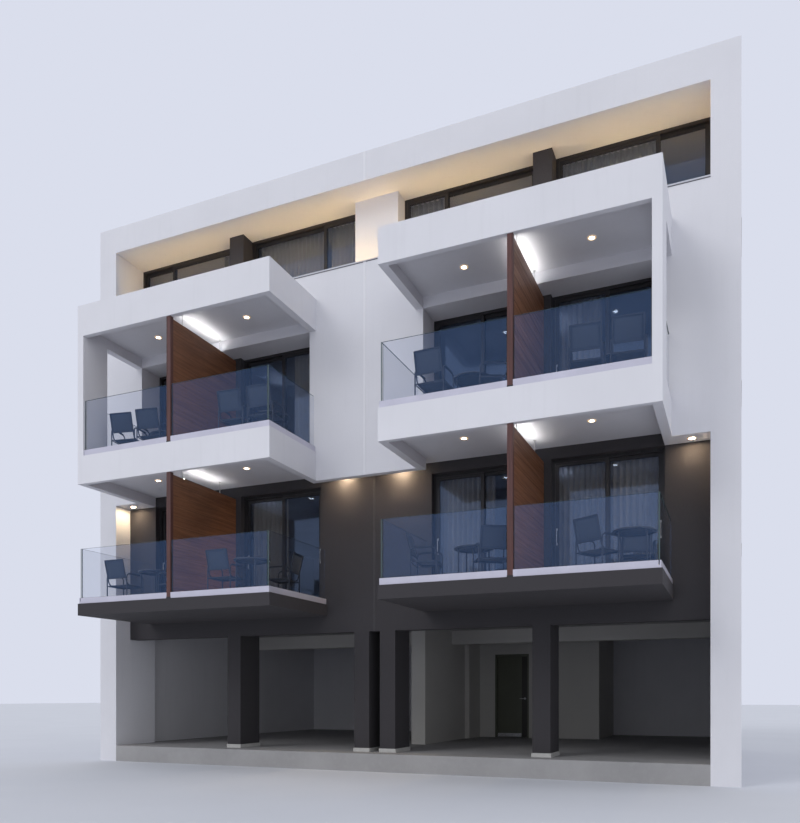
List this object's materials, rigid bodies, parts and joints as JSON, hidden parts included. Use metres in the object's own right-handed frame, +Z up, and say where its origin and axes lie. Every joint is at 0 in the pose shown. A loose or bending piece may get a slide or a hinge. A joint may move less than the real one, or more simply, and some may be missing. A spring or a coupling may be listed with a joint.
{
  "type": "apartment block",
  "caption": "Apartment block with a white outer frame, white balcony boxes, dark lower balconies, wooden dividers and open parking.",
  "frame": {"origin": "middle of the footprint at the lowest level", "axes": "+Z up, the street front looks towards -Y, +X to the right as seen from the street"},
  "size_m": [13.56, 10.965, 12.075],
  "materials": {
    "concrete": "rough",
    "white_render": "matte",
    "side_render": "matte",
    "dark_render": "matte",
    "inner_render": "matte",
    "pale_stone": "honed",
    "cap_metal": "satin",
    "door_paint": "satin",
    "handle_metal": "brushed",
    "divider_wood": "satin",
    "post_wood": "satin",
    "frame_metal": "satin",
    "lamp_light": "diffusing",
    "channel_metal": "satin",
    "rail_glass": "clear",
    "window_glass": "tinted",
    "chair_frame": "satin",
    "table_top": "satin"
  },
  "bodies": {
    "building": {"ground_slab": "concrete", "end_piers": "white_render", "white_front_frame": "white_render", "left_side_wall": "side_render", "right_side_wall": "side_render", "rear_wall": "side_render", "first_floor_slab": "concrete", "second_floor_slab": "concrete", "third_floor_slab": "concrete", "roof_slab": "concrete", "first_floor_front_wall": "dark_render", "second_floor_front_wall": "white_render", "dark_pilasters": "dark_render", "loggia_piers": "white_render", "parapet_cap": "cap_metal", "front_beam": "dark_render", "inner_beams": "inner_render", "columns": "dark_render", "column_bases": "pale_stone", "centre_wall": "inner_render", "lobby_door_wall": "inner_render", "lobby_lintel": "inner_render", "lobby_side_wall": "inner_render", "entrance_frame": "door_paint", "left_balcony_box": "white_render", "right_balcony_box": "white_render", "lower_balcony_slabs": "dark_render", "balcony_dividers": "divider_wood", "divider_posts": "post_wood", "divider_hangers": "handle_metal", "light_strips": "lamp_light", "rail_channels": "channel_metal", "rail_glass": "rail_glass", "first_floor_windows": "frame_metal", "second_floor_windows": "frame_metal", "loggia_windows": "frame_metal", "rear_windows": "frame_metal", "side_windows": "frame_metal", "front_glass": "window_glass", "rear_and_side_glass": "window_glass", "stone_sills": "pale_stone", "ceiling_lamps": "lamp_light", "balcony_chairs": "chair_frame", "balcony_tables": "table_top"},
    "door": {"entrance_door": "door_paint", "door_handles": "handle_metal"}
  },
  "joints": [
    {"name": "entrance_door_hinge", "type": "hinge", "parent": "building", "child": "door", "pos_m": [0.6375, 2.9215, 1.475], "axis": [0, 0, 1], "range_deg": [0, 90]}
  ]
}
